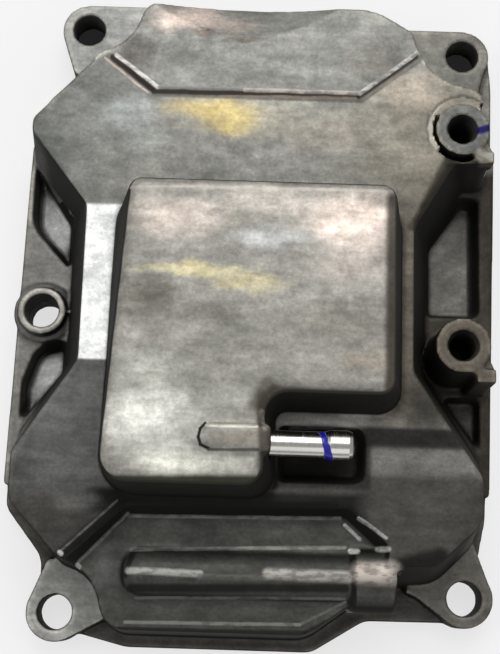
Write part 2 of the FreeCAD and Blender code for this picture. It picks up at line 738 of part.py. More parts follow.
def gallery_bores():
    """Blind drilling, the plug's counterbore, and the feed hole down into the cover."""
    end = END_BOSS_X + OVER
    bore = bar_along_x(GALLERY_LEFT_X + 2 * GALLERY_R, end, GALLERY_Y, GALLERY_Z, GALLERY_BORE_R)
    counterbore = bar_along_x(END_BOSS_X - PLUG_DEPTH, end, GALLERY_Y, GALLERY_Z, PLUG_R)
    feed = cylinder(GALLERY_FEED_X, GALLERY_Y, GALLERY_Z - GALLERY_R - OVER, GALLERY_Z, GALLERY_FEED_R)
    return [bore, counterbore, feed]


def foot():
    """Flange, ears and the lands in the notches."""
    outline = rounded_wire(moved_walls(flange_corners(), 0.0, 0.0), 0.0)
    flange = Part.Face(outline).extrude(Vector(0, 0, FLANGE_Z))
    return flange.fuse(ears() + side_lands())


def boss_moats():
    """Clearance cut round the tapped bosses, for the bracket's ring and the tool."""
    moats = []
    for y, depth in ((SIDE_BOSS_TOP_Y, MOAT_DEPTH), (SIDE_BOSS_LOW_Y, DECK_Z - LAND_Z)):
        moats.append(cylinder(SIDE_BOSS_X, y, DECK_Z - depth, LOBE_Z, MOAT_R))
    return moats


def hollow():
    """Inside of the cover, less what stands in it."""
    room = stepped_body(inner_corners(), -OVER, WALL)
    boss_column = cylinder(SIDE_BOSS_X, SIDE_BOSS_TOP_Y, -2 * OVER, DECK_Z, MOAT_R + WALL)
    seat = tapered(seat_outline(), SEAT_Z, DECK_Z - OVER)
    low = RELIEF_FLOOR_Z - WALL
    high = DECK_Z - OVER
    right = RELIEF_RIGHT_X + WALL
    under_relief = block(BOX_STEP_X, right, RELIEF_SOUTH_Y - WALL, RELIEF_NORTH_Y + WALL, low, high)
    return room.cut([boss_column, seat, under_relief, gallery()] + inside_ribs())


def bosses():
    """What stands on the finished walls: bolt bosses, the nipple's socket and the baffle's fixings."""
    solids = [
        cylinder(MID_BOSS_X, MID_BOSS_Y, 0, MID_BOSS_Z, MID_BOSS_R),
        cylinder(MID_BOSS_X, MID_BOSS_Y, 0, MID_COLLAR_Z, MID_COLLAR_R),
        side_boss(SIDE_BOSS_TOP_Y, DECK_Z - MOAT_DEPTH),
        side_boss(SIDE_BOSS_LOW_Y, POCKET_Z),
        bar_along_x(SOCKET_X, BOX_STEP_X, TUBE_Y, TUBE_Z, SOCKET_R),
    ]
    for x, y in baffle_screw_places():
        solids.append(cylinder(x, y, SEAT_Z, SCREW_BOSS_Z, SCREW_BOSS_R))
    low = BOX_ROOF_Z - FILTER_RIB_DROP
    for x in (FILTER_X - FILTER_RIB_T - FILTER_GAP, FILTER_X + FILTER_W + FILTER_GAP):
        end = FILTER_Y + FILTER_L
        solids.append(block(x, x + FILTER_RIB_T, BOX_SOUTH_Y + OVER, end, low, BOX_ROOF_Z + OVER))
    return solids


def drillings():
    """Every hole and groove that is cut last."""
    holes = [groove_ring()] + gallery_bores()
    corners = [(BOLT_LEFT_X, BOLT_LEFT_TOP_Y), (BOLT_LEFT_X, BOLT_LEFT_LOW_Y)]
    corners += [(BOLT_RIGHT_X, BOLT_RIGHT_TOP_Y), (BOLT_RIGHT_X, BOLT_RIGHT_LOW_Y)]
    for x, y in corners + [(MID_BOSS_X, MID_BOSS_Y)]:
        holes.append(cylinder(x, y, -OVER, MID_BOSS_Z + OVER, BOLT_HOLE_R))
    for y in (SIDE_BOSS_TOP_Y, SIDE_BOSS_LOW_Y):
        holes += side_thread(y)
    holes.append(bar_along_x(TUBE_INNER_X, TUBE_TIP_X, TUBE_Y, TUBE_Z, TUBE_R))
    holes.append(bar_along_x(SOCKET_X - OVER, TUBE_INNER_X, TUBE_Y, TUBE_Z, TUBE_BORE_R))
    for x, y in baffle_screw_places():
        holes.append(cylinder(x, y, SEAT_Z - OVER, PLATE_Z + SCREW_LENGTH + OVER, SCREW_DRILL_R))
    return holes


def cover_casting():
    """The die-cast lid."""
    outer = foot().fuse(stepped_body(body_corners(NOTCH_SLOPE, CORNER_SLOPE), 0.0, 0.0))
    shell = outer.cut(pockets() + boss_moats()).cut(hollow())
    shell = shell.fuse([breather_box(), hump(), gallery()]).cut([chamber(), relief()])
    return shell.fuse(bosses()).cut(drillings()).removeSplitter()


def breather_tube():
    """Steel nipple with a rolled bead at its tip, pressed into the box."""
    r = TUBE_R
    tip = TUBE_TIP_X
    bead = tip - BEAD_LENGTH
    profile = [
        (TUBE_INNER_X, TUBE_BORE_R),
        (TUBE_INNER_X, r),
        (bead, r),
        (bead + BEAD_TAPER, BEAD_R),
        (tip - TIP_ROUND, BEAD_R),
        (tip - TIP_ROUND * 0.3, BEAD_R - TIP_ROUND * 0.35),
        (tip, BEAD_R - TIP_ROUND),
        (tip, TUBE_BORE_R),
    ]
    path = [Vector(x, TUBE_Y + radius, TUBE_Z) for x, radius in profile]
    face = Part.Face(Part.makePolygon(path + [path[0]]))
    return face.revolve(Vector(0, TUBE_Y, TUBE_Z), Vector(1, 0, 0), 360)


def gallery_plug():
    """Pressed steel cup that closes the gallery's drilling."""
    base = END_BOSS_X - PLUG_DEPTH
    cup = bar_along_x(base, END_BOSS_X - PLUG_INSET, GALLERY_Y, GALLERY_Z, PLUG_R)
    return cup.cut(bar_along_x(base + PLUG_WALL, END_BOSS_X, GALLERY_Y, GALLERY_Z, PLUG_R - PLUG_WALL))


def baffle_gasket():
    """Thin paper gasket between the box and its baffle."""
    ring = tapered(seat_outline(), PLATE_TOP_Z, SEAT_Z).cut(chamber_opening())
    eyes = []
    holes = []
    for x, y in baffle_screw_places():
        eyes.append(cylinder(x, y, PLATE_TOP_Z, SEAT_Z, SCREW_BOSS_R))
        holes.append(cylinder(x, y, PLATE_TOP_Z - OVER, SEAT_Z + OVER, SCREW_HOLE_R))
    return ring.fuse(eyes).cut(holes).removeSplitter()


def chamber_opening():
    """The box's mouth at the seat, as a straight cutter through gasket and seat."""
    edge = BOX_ROOF_Z - BOX_INNER_EDGE_R
    corners = moved_walls(box_corners(BOX_INNER_SLOPE), WALL, edge - SEAT_Z)
    return Part.Face(rounded_wire(corners, PLATE_TOP_Z - OVER)).extrude(Vector(0, 0, GASKET_T + 2 * OVER))


def baffle_plate():
    """Steel sheet that closes the breather box, with the reed valve's port and an oil drain."""
    low = PLATE_Z - OVER
    high = PLATE_TOP_Z + OVER
    holes = [
        cylinder(REED_X, PORT_Y, low, high, PORT_R),
        cylinder(REED_X, REED_SCREW_Y, low, high, SCREW_R),
        cylinder(FILTER_X, FILTER_Y + FILTER_L + 4 * DRAIN_R, low, high, DRAIN_R),
    ]
    for x, y in baffle_screw_places():
        holes.append(cylinder(x, y, low, high, SCREW_HOLE_R))
    return tapered(seat_outline(), PLATE_Z, PLATE_TOP_Z).cut(holes)


def hexagon(x, y, across_flats, z_low, z_high):
    corner_r = across_flats / 2 / math.cos(math.radians(30))
    points = []
    for k in range(6):
        angle = math.radians(60.0 * k)
        points.append((x + corner_r * math.cos(angle), y + corner_r * math.sin(angle)))
    return plate_of(points, z_low, z_high)


def baffle_screws():
    """Hexagon screws that hold the baffle from below."""
    screws = []
    for x, y in baffle_screw_places():
        head = hexagon(x, y, SCREW_HEAD_AF, PLATE_Z - SCREW_HEAD_H, PLATE_Z)
        screws.append(head.fuse(cylinder(x, y, PLATE_Z, PLATE_Z + SCREW_LENGTH, SCREW_DRILL_R)))
    return Part.makeCompound(screws)


def reed_outline():
    half = REED_W / 2
    tail = REED_SCREW_Y - REED_TAIL
    tip = PORT_Y + PORT_R + REED_OVERLAP
    tip_r = half * 0.9
    return [
        (REED_X - half, tail, half * 0.4, 0.0),
        (REED_X + half, tail, half * 0.4, 0.0),
        (REED_X + half, tip, tip_r, 0.0),
        (REED_X - half, tip, tip_r, 0.0),
    ]


def reed_valve():
    """Spring steel petal that covers the port."""
    petal = tapered(reed_outline(), PLATE_TOP_Z, PLATE_TOP_Z + REED_T)
    return petal.cut(cylinder(REED_X, REED_SCREW_Y, PLATE_Z, PLATE_TOP_Z + OVER, SCREW_R))


def reed_stopper():
    """Bent strip that limits how far the petal lifts."""
    low = PLATE_TOP_Z + REED_T
    tail = REED_SCREW_Y - REED_TAIL
    bend = REED_SCREW_Y + REED_CLAMP
    tip = PORT_Y + PORT_R + REED_OVERLAP
    profile = [(tail, low), (bend, low), (tip, low + STOPPER_LIFT)]
    profile += [(y, z + STOPPER_T) for y, z in reversed(profile)]
    strip = side_profile(profile, REED_X - REED_W / 2, REED_X + REED_W / 2)
    plan = tapered(reed_outline(), low, low + STOPPER_LIFT + STOPPER_T)
    return strip.common(plan).cut(cylinder(REED_X, REED_SCREW_Y, PLATE_Z, low + 2 * STOPPER_T, SCREW_R))


def reed_screw():
    """Hexagon screw through stopper, petal and plate."""
    seat = PLATE_TOP_Z + REED_T + STOPPER_T
    head = hexagon(REED_X, REED_SCREW_Y, SCREW_HEAD_AF, seat, seat + SCREW_HEAD_H)
    return head.fuse(cylinder(REED_X, REED_SCREW_Y, PLATE_Z - NUT_H, seat, SCREW_R))


def reed_nut():
    """Hexagon nut under the baffle."""
    nut = hexagon(REED_X, REED_SCREW_Y, SCREW_HEAD_AF, PLATE_Z - NUT_H, PLATE_Z)
    return nut.cut(cylinder(REED_X, REED_SCREW_Y, PLATE_Z - NUT_H - OVER, PLATE_Z + OVER, SCREW_R))


def oil_filter():
    """Pad of knitted wire that catches oil before the nipple, held between two roof ribs."""
    corners = []
    for x, y in ((0.0, 0.0), (FILTER_W, 0.0), (FILTER_W, FILTER_L), (0.0, FILTER_L)):
        corners.append((FILTER_X + x, FILTER_Y + y, FILTER_CORNER_R, 0.0))
    return tapered(corners, PLATE_TOP_Z, BOX_ROOF_Z - FILTER_GAP)


PIECES = {
    "cover_casting": cover_casting,
    "sealing_gasket": groove_ring,
    "breather_tube": breather_tube,
    "gallery_plug": gallery_plug,
    "baffle_gasket": baffle_gasket,
    "baffle_plate": baffle_plate,
    "baffle_screws": baffle_screws,
    "reed_valve": reed_valve,
    "reed_stopper": reed_stopper,
    "reed_screw": reed_screw,
    "reed_nut": reed_nut,
    "oil_filter": oil_filter,
}

os.makedirs("parts", exist_ok=True)
for name, make in PIECES.items():
    shape = make()
    shape.exportStep("parts/" + name + ".step")
    print(name, len(shape.Solids), shape.isValid(), round(shape.Volume))
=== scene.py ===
"""Looks of a die-cast engine valve cover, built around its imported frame.

The sizes and places below are in millimetres, in the frame's own axes: X to the right of the
photograph, Y up it and Z towards its camera. Blender's own values are in metres."""

import math

import bpy
from mathutils import Matrix, Vector
from mathutils.bvhtree import BVHTree

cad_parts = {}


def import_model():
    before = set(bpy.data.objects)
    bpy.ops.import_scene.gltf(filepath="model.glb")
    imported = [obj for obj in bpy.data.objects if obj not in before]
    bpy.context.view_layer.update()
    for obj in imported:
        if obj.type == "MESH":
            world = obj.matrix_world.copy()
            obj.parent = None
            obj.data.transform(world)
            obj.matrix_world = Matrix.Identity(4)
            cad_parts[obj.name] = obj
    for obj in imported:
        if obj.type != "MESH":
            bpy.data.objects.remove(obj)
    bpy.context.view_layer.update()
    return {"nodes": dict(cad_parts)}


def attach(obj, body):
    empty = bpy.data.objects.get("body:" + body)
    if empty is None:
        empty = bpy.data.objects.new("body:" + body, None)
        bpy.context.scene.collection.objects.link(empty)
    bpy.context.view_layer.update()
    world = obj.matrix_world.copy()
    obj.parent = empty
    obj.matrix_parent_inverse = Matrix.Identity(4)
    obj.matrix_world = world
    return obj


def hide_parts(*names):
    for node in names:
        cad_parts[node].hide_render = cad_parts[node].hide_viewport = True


MM = 0.001

# The photograph's camera: nearly overhead, leaning back towards -Y
IMAGE_LONG_SIDE = 654
FOCAL_PIXELS = 1330
SENSOR = 36.0
CAMERA_TARGET = (-1.25, -5.75, 20.0)
CAMERA_DISTANCE = 350.0
CAMERA_TILT = math.radians(12.4)
CAMERA_ROLL = math.radians(1.8)

# Lamps, with azimuth and elevation in degrees, distance and size in metres, and watts
LAMPS = {
    "key": (175.0, 60.0, 1.1, 0.8, 6.5),
    "side": (265.0, 48.0, 1.1, 0.5, 2.0),
    "front": (20.0, 40.0, 1.2, 0.8, 1.5),
}
SKY = (1.0, 1.0, 1.0)
SKY_STRENGTH = 0.4

# Softened copy of the casting
VOXEL = 0.65
WELD = 0.002
SOFTEN_STEPS = 3
SOFTEN_FACTOR = 0.5
TRIANGLE_LIMIT = 190000

# Colours, linear
SKIN = (0.205, 0.203, 0.186)
WARM = (0.50, 0.40, 0.17)
# Near-black painted shade, for steep walls, inner corners and painted shadow lines
SHADE_BLACK = (0.0045, 0.0040, 0.0030)
PLAIN_CAST = (0.20, 0.20, 0.185)
STEEL = (0.62, 0.61, 0.57)
DULL_STEEL = (0.34, 0.34, 0.33)
SPRING = (0.20, 0.21, 0.24)
RUBBER = (0.018, 0.018, 0.018)
PAPER = (0.11, 0.13, 0.12)
BETWEEN_WIRES = (0.02, 0.02, 0.02)
PAINT_BLUE = (0.012, 0.010, 0.30)
RING_GREY = (0.120, 0.122, 0.114)
# Gain for brightened convex edges, partly wear and partly painted highlight
WEAR_AND_HIGHLIGHT_GAIN = (2.6, 2.5, 2.35)
CAST_SPECULAR = 0.2
FLOOR = (0.92, 0.92, 0.92)
# Painted shadow on the floor seen through the two northern holes
FLOOR_SHADOW = (0.02, 0.02, 0.02)
FLOOR_GLOW = 0.75

# Broad tones of the casting's skin, partly painted light: the dark south deck, platform, east
# deck and upper ramp are partly painted shade, the black hose recess and the band between box
# and step painted shadow, the lower ramp a painted highlight and the near-white west strip a
# painted reflection. Each: a box's low and high corners, its edges' softness, tone
ZONES = {
    "lobe": ((-60, 52.5, 25), (60, 90, 36), (3, 1.5, 0.4), (0.222, 0.222, 0.204)),
    "north deck, west": ((-75, 24, 29.5), (-34, 64, 33.4), (12, 3, 0.4), (0.170, 0.172, 0.158)),
    "along the box": ((-42, 26, 29.5), (42, 35, 33.6), (6, 3, 0.4), (0.185, 0.184, 0.166)),
    "north deck, east": ((26, 24, 29.5), (75, 60, 33.2), (14, 6, 0.4), (0.205, 0.190, 0.155)),
    "east deck": ((30, -34, 29.5), (75, 26, 33.4), (4, 9, 0.4), (0.105, 0.092, 0.074)),
    # Painted reflection: a lamp's reflection on a level strip, painted near white
    "west deck, painted reflection": ((-75, -18, 30), (-30, 23, 33.5), (1, 0.5, 0.4), (0.74, 0.75, 0.74)),
    "west deck, lower": ((-75, -60, 28), (-30, -18, 33.5), (1, 0.5, 0.4), (0.108, 0.109, 0.104)),
    "west deck, end": ((-75, -80, 25.5), (-30, -50, 33.5), (1, 6, 0.6), (0.048, 0.046, 0.042)),
    "ramp, upper": ((26, -38.2, 29), (56, -33, 33.5), (3, 0.7, 0.3), (0.030, 0.028, 0.025)),
    "ramp, lower": ((26, -44.5, 29), (56, -38.2, 33.5), (3, 1.4, 0.3), (0.155, 0.152, 0.140)),
    "south deck": ((0, -75, 27.5), (75, -44.5, 33.5), (3, 1.6, 0.3), (0.062, 0.060, 0.054)),
    "between box and step": ((-40, -56, 29.5), (28, -50, 33.5), (3, 1, 0.3), (0.012, 0.012, 0.011)),
    "platform": ((-60, -90, 19), (45, -54, 30.4), (2, 1, 0.5), (0.056, 0.056, 0.051)),
    "north ears": ((-70, 55, -2), (70, 95, 12.5), (6, 6, 0.6), (0.27, 0.27, 0.255)),
    "north-east ear": ((30, 55, -2), (70, 95, 12.5), (3, 3, 0.6), (0.165, 0.160, 0.142)),
    "side lands": ((-75, -50, 9), (0, 50, 13.5), (2, 4, 0.6), (0.170, 0.168, 0.155)),
    "east side lands": ((30, -50, 5), (75, 42, 30), (2, 2, 0.6), (0.034, 0.030, 0.024)),
    "south-west ear": ((-75, -95, -2), (0, -66, 12.5), (2, 4, 0.6), (0.270, 0.270, 0.255)),
    "south-east ear": ((0, -95, -2), (75, -62, 12.5), (2, 4, 0.6), (0.125, 0.120, 0.105)),
    "flange": ((-75, -95, -2), (75, 60, 8.5), (1, 4, 0.6), (0.060, 0.058, 0.052)),
    "pocket floors": ((-75, -40, 3.5), (-44, 45, 7), (1, 1, 0.6), (0.42, 0.42, 0.41)),
    "east pocket floor": ((38, -5, 3.5), (62, 45, 7), (1, 1, 0.6), (0.14, 0.135, 0.12)),
    "hose recess": ((5, -48.6, 24), (30, -32.6, 31.2), (0.8, 0.8, 0.6), (0.010, 0.009, 0.008)),
    "box top": ((-50, -60, 45.2), (50, 40, 60), (1, 1, 0.8), (0.275, 0.267, 0.240)),
}

# Levels that the patches and lines below lie on: low and high
BOX = (45.0, 60.0)
DECK = (29.5, 33.2)
LOBE = (33.2, 36.0)
SCOOP = (24.0, 34.6)
SOUTH_DECK = (27.0, 32.6)
SOUTH = (20.0, 31.6)
STEP = (28.0, 35.0)
BLUE = (30.0, 34.0)
LEVEL_SOFT = 0.3

# A patch is full up to this share of its half sizes. A line is full up to the core's share of its
# width and has ended at the edge's, both measured from its middle
PATCH_CORE = 0.15
STROKE_CORE = 0.25
STROKE_EDGE = 0.75

# Stains and smears mixed with painted sheen, reflections and shade: level, centre, half sizes,
# tint, strength
STAINS_AND_PAINTED_LIGHT = [
    # Warm bright patches south of the lobe: partly warm stain, partly painted sheen
    (DECK, (-6.0, 48.5), (28.0, 8.0), (0.50, 0.46, 0.36), 0.55),
    (DECK, (-13.0, 50.5), (17.0, 4.5), WARM, 0.85),
    (DECK, (-8.0, 46.8), (11.0, 5.0), WARM, 0.85),
    (DECK, (-35.0, 48.0), (11.0, 7.0), (0.34, 0.36, 0.35), 0.75),
    (DECK, (-30.0, 41.0), (9.0, 5.0), (0.26, 0.27, 0.25), 0.6),
    (DECK, (18.0, 44.0), (17.0, 8.0), (0.32, 0.29, 0.245), 0.65),
    (DECK, (40.0, 57.0), (13.0, 8.0), (0.46, 0.40, 0.33), 0.75),
    (DECK, (46.0, 30.0), (9.0, 12.0), (0.115, 0.100, 0.080), 0.6),
    # Painted shade beside the box's south-east corner
    (DECK, (43.0, -27.0), (13.0, 9.0), (0.030, 0.028, 0.024), 0.85),
    (DECK, (-56.0, 38.0), (11.0, 12.0), (0.095, 0.100, 0.090), 0.7),
    # The scoop's pink patches are painted reflections, the dark strips along its edge painted shade
    (SCOOP, (-19.0, 75.5), (13.0, 6.5), (0.84, 0.70, 0.61), 0.95),
    (SCOOP, (-8.0, 74.0), (10.0, 4.0), (0.44, 0.38, 0.33), 0.8),
    (SCOOP, (8.0, 76.0), (10.0, 5.0), (0.25, 0.25, 0.23), 0.7),
    (SCOOP, (-16.0, 70.6), (6.0, 1.4), (0.13, 0.10, 0.08), 0.7),
    (SCOOP, (-4.0, 69.8), (9.0, 1.2), (0.12, 0.10, 0.08), 0.75),
    (LOBE, (-34.0, 66.0), (8.0, 6.0), (0.110, 0.098, 0.090), 0.7),
    (LOBE, (2.0, 61.0), (18.0, 4.0), (0.27, 0.27, 0.25), 0.6),
    (LOBE, (30.0, 64.0), (11.0, 8.0), (0.25, 0.235, 0.205), 0.6),
    (LOBE, (-20.0, 62.0), (9.0, 4.0), (0.150, 0.148, 0.138), 0.6),
    (BOX, (-20.0, 16.0), (17.0, 8.0), (0.60, 0.52, 0.46), 0.8),
    (BOX, (24.0, 16.0), (18.0, 11.0), (0.78, 0.66, 0.58), 0.9),
    (BOX, (2.0, 20.0), (16.0, 7.0), (0.54, 0.49, 0.44), 0.75),
    (BOX, (3.0, 11.0), (14.0, 4.0), (0.56, 0.57, 0.56), 0.7),
    (BOX, (24.0, 5.0), (18.0, 8.0), (0.46, 0.41, 0.37), 0.7),
    (BOX, (-16.0, 2.4), (20.0, 2.6), (0.62, 0.56, 0.34), 0.85),
    (BOX, (-2.0, -0.2), (13.0, 3.2), (0.55, 0.49, 0.30), 0.8),
    (BOX, (-26.0, -5.0), (12.0, 8.0), (0.105, 0.100, 0.082), 0.85),
    (BOX, (-12.0, -9.0), (14.0, 4.0), (0.180, 0.172, 0.148), 0.7),
    (BOX, (20.0, -9.0), (22.0, 9.0), (0.215, 0.208, 0.176), 0.75),
    (BOX, (-6.0, -15.0), (16.0, 5.0), (0.200, 0.196, 0.172), 0.65),
    (BOX, (28.0, -19.0), (12.0, 5.0), (0.34, 0.29, 0.235), 0.7),
    (BOX, (-24.0, -22.0), (14.0, 7.0), (0.40, 0.40, 0.36), 0.75),
    (BOX, (-24.0, -35.0), (16.0, 13.0), (0.74, 0.74, 0.68), 0.85),
    (BOX, (-16.0, -45.0), (20.0, 5.5), (0.80, 0.79, 0.70), 0.9),
    (BOX, (-6.0, -29.0), (9.0, 5.0), (0.36, 0.36, 0.33), 0.7),
    (BOX, (-3.0, -38.7), (9.0, 2.6), (0.24, 0.215, 0.175), 0.8),
    (SOUTH_DECK, (-51.0, -32.0), (7.0, 9.0), (0.150, 0.152, 0.148), 0.75),
    (SOUTH_DECK, (-46.0, -43.0), (6.0, 6.0), (0.120, 0.120, 0.112), 0.7),
    (SOUTH_DECK, (-57.0, -47.0), (6.0, 6.0), (0.050, 0.050, 0.047), 0.7),
    (SOUTH_DECK, (-43.0, -54.0), (8.0, 3.0), (0.100, 0.100, 0.094), 0.7),
    (SOUTH_DECK, (44.0, -52.0), (12.0, 8.0), (0.072, 0.072, 0.064), 0.6),
    (SOUTH, (-35.0, -69.0), (5.0, 9.0), (0.085, 0.086, 0.080), 0.8),
    (SOUTH, (10.0, -59.5), (13.0, 2.4), (0.085, 0.085, 0.078), 0.7),
    (SOUTH, (-18.0, -59.5), (11.0, 2.2), (0.072, 0.072, 0.066), 0.6),
]

# Mottling of the skin: size, detail, stretch along the axes, seed, spread
MOTTLES = [
    (16.0, 4.0, (1.3, 1.0, 1.0), 0.0, 0.20),
    (5.0, 4.0, (1.2, 1.0, 1.0), 15.0, 0.16),
    (2.4, 3.0, (1.3, 1.0, 1.0), 31.0, 0.13),
    (2.6, 5.0, (5.0, 1.0, 1.0), 3.0, 0.15),
    (0.9, 2.0, (1.0, 1.0, 1.0), 9.0, 0.13),
]

# Painted shadow lines, mostly along the feet of walls and on rounded rims, and one real blue
# paint mark: level, start, end, width, tint, strength
SHADOWS_AND_BLUE_MARK = [
    (BOX, (33.1, 21.6), (33.2, -26.6), 3.2, (0.05, 0.042, 0.03), 0.8),
    (BOX, (5.0, -27.2), (32.9, -27.8), 3.0, (0.05, 0.044, 0.033), 0.85),
    (SOUTH_DECK, (37.4, -67.2), (47.1, -64.5), 4.5, SHADE_BLACK, 0.85),
    # The one real blue paint mark, the other lines being painted shadow
    (BLUE, (57.5, 46.2), (61.2, 47.5), 2.0, (0.010, 0.007, 0.085), 1.0),
    (DECK, (49.4, 36.9), (56.0, 37.0), 2.6, SHADE_BLACK, 0.9),
    (STEP, (-39.8, 63.2), (-28.8, 54.5), 1.4, (0.04, 0.031, 0.026), 0.95),
    (STEP, (-28.6, 54.0), (25.2, 54.5), 1.1, (0.05, 0.044, 0.036), 0.9),
    (STEP, (25.6, 54.5), (40.2, 66.0), 1.5, (0.034, 0.03, 0.026), 0.95),
    (BOX, (-11.2, -35.5), (-12.3, -36.8), 0.7, (0.016, 0.014, 0.012), 1.0),
    (BOX, (-12.3, -36.8), (-12.7, -38.8), 0.7, (0.016, 0.014, 0.012), 1.0),
    (BOX, (-12.7, -38.8), (-12.2, -40.6), 0.7, (0.016, 0.014, 0.012), 1.0),
    (BOX, (-12.2, -40.6), (-10.2, -41.5), 0.7, (0.02, 0.018, 0.015), 1.0),
    (BOX, (-10.2, -41.8), (1.5, -41.6), 0.7, (0.075, 0.07, 0.06), 0.8),
    (BOX, (2.4, -28.9), (3.7, -47.9), 3.4, (0.052, 0.043, 0.032), 0.85),
    (BOX, (3.5, -25.6), (1.2, -30.1), 4.0, (0.07, 0.062, 0.05), 0.7),
    (BOX, (-33.6, -49.8), (2.8, -48.9), 2.6, (0.03, 0.032, 0.02), 0.95),
    (DECK, (49.6, 38.0), (43.4, 25.1), 3.4, (0.032, 0.029, 0.02), 0.9),
    (DECK, (43.4, 25.1), (40.0, 19.6), 2.6, (0.032, 0.029, 0.02), 0.7),
    (SOUTH, (5.0, -30.6), (37.6, -30.4), 7.0, SHADE_BLACK, 0.92),
    (SOUTH, (4.3, -25.6), (5.5, -48.1), 3.0, SHADE_BLACK, 0.9),
    (SOUTH, (-34.5, -52.4), (5.0, -51.4), 3.2, (0.007, 0.007, 0.006), 0.9),
    (SOUTH, (-46.1, -67.0), (-32.0, -54.1), 3.0, (0.006, 0.006, 0.005), 0.9),
    (SOUTH, (-30.8, -55.1), (21.2, -52.5), 2.2, (0.007, 0.007, 0.006), 0.9),
    (SOUTH, (-28.6, -74.2), (24.1, -72.7), 2.0, (0.008, 0.008, 0.007), 0.85),
    (SOUTH, (-30.1, -71.2), (-28.6, -65.5), 1.4, (0.008, 0.008, 0.007), 0.8),
    (SOUTH, (26.1, -63.4), (26.4, -76.5), 1.2, SHADE_BLACK, 0.9),
    (SOUTH, (-31.1, -84.5), (14.8, -84.0), 1.8, (0.01, 0.01, 0.009), 0.8),
    (SOUTH, (14.8, -84.0), (25.9, -78.3), 1.8, (0.01, 0.01, 0.009), 0.8),
]

# Painted highlight lines along rims, edges and the ridge, broken up by noise, in the same terms
HIGHLIGHT_LINES = [
    (STEP, (-38.9, 63.8), (-27.4, 55.0), 0.95, (0.82, 0.78, 0.74), 1.0),
    (STEP, (-27.1, 55.0), (-4.5, 55.1), 0.8, (0.34, 0.33, 0.31), 0.85),
    (STEP, (-4.5, 55.0), (25.8, 55.0), 0.95, (0.62, 0.56, 0.51), 1.0),
    (STEP, (25.8, 55.0), (40.6, 66.8), 1.05, (0.66, 0.64, 0.6), 1.0),
    (STEP, (-41.9, 63.2), (-30.1, 53.9), 0.6, (0.52, 0.43, 0.38), 0.9),
    (STEP, (26.9, 54.0), (41.6, 65.5), 0.5, (0.42, 0.38, 0.33), 0.7),
    (STEP, (-11.1, 53.4), (24.6, 53.9), 0.6, (0.46, 0.34, 0.28), 0.7),
    (BOX, (-10.8, -36.0), (1.0, -36.0), 0.8, (0.62, 0.6, 0.52), 0.9),
    (BOX, (2.2, -32.4), (3.3, -36.2), 1.6, (0.36, 0.33, 0.28), 0.5),
    (BOX, (-31.9, 23.2), (33.0, 24.1), 0.7, (0.46, 0.42, 0.38), 0.7),
    (DECK, (47.3, 53.3), (44.9, 50.3), 0.9, (0.36, 0.35, 0.32), 0.9),
    (DECK, (44.9, 50.3), (44.1, 46.5), 0.9, (0.36, 0.35, 0.32), 1.0),
    (DECK, (44.1, 46.5), (44.9, 42.7), 0.9, (0.36, 0.35, 0.32), 1.0),
    (DECK, (44.9, 42.7), (47.9, 39.2), 0.9, (0.36, 0.35, 0.32), 0.9),
    (DECK, (43.2, -11.2), (44.0, -14.8), 0.9, (0.6, 0.6, 0.55), 0.9),
    (DECK, (57.5, 40.5), (60.6, 39.1), 2.0, (0.3, 0.3, 0.27), 0.8),
    (SOUTH, (9.6, -33.5), (28.6, -33.1), 0.8, (0.1, 0.1, 0.095), 0.8),
    (SOUTH, (-45.6, -65.5), (-32.8, -53.2), 0.6, (0.15, 0.15, 0.14), 0.7),
    (SOUTH, (-42.0, -68.2), (-30.2, -56.0), 0.7, (0.17, 0.17, 0.16), 0.8),
    (SOUTH, (-30.2, -56.5), (22.8, -55.5), 0.8, (0.17, 0.17, 0.16), 0.9),
    (SOUTH, (27.1, -55.6), (34.0, -60.2), 0.8, (0.46, 0.46, 0.43), 0.95),
    (SOUTH, (24.1, -57.1), (27.8, -60.5), 0.9, (0.44, 0.44, 0.41), 0.95),
    (SOUTH, (-29.1, -64.8), (24.1, -62.6), 0.9, (0.22, 0.22, 0.2), 0.9),
    (SOUTH, (-29.4, -70.0), (-11.7, -70.3), 1.6, (0.34, 0.34, 0.31), 1.0),
    (SOUTH, (-11.6, -71.0), (5.0, -70.8), 1.4, (0.13, 0.13, 0.12), 0.8),
    (SOUTH, (5.0, -69.8), (24.8, -70.0), 2.6, (0.33, 0.32, 0.29), 1.0),
    (SOUTH, (-27.4, -76.5), (24.2, -75.2), 0.7, (0.14, 0.14, 0.13), 0.8),
    (SOUTH, (-29.8, -82.5), (13.3, -81.8), 0.8, (0.2, 0.2, 0.18), 0.9),
    (SOUTH, (13.8, -81.5), (24.4, -76.0), 0.7, (0.14, 0.14, 0.13), 0.8),
    (SOUTH, (25.6, -63.6), (27.1, -63.5), 1.3, (0.6, 0.6, 0.56), 0.95),
    (SOUTH, (32.2, -63.0), (34.5, -62.9), 1.3, (0.5, 0.5, 0.46), 0.95),
    (SOUTH, (28.1, -68.8), (35.2, -68.7), 5.2, (0.46, 0.41, 0.36), 0.95),
    (SOUTH, (-46.2, -66.2), (-45.8, -66.5), 1.1, (0.6, 0.6, 0.57), 1.0),
    (SOUTH, (-42.2, -69.0), (-41.8, -69.5), 1.1, (0.55, 0.55, 0.52), 1.0),
]

# The part of the outside that the photograph shows, where steep walls are the blackest: low and
# high corners, softness
# Steep walls here are painted the darkest shade
SEEN_WALLS = ((-57.0, -88.0, 4.0), (55.0, 64.0, 60.0), (2.0, 2.0, 1.0))

# Where the lobe's step runs: its top edge, the slope's width and the deck beside it
STEP_TOP = ((-38.9, 63.8), (-27.4, 55.0), (25.8, 55.0), (40.6, 66.8))
STEP_WIDTH = 2.0
LOBE_Z = 34.0
DECK_Z = 32.0
DECK_FROM_Y = 23.0
DECK_TILT = 0.0187
STEP_FROM_Y = 46.0
STEP_REACH_X = 60.0
SKIN_GRACE = 0.1

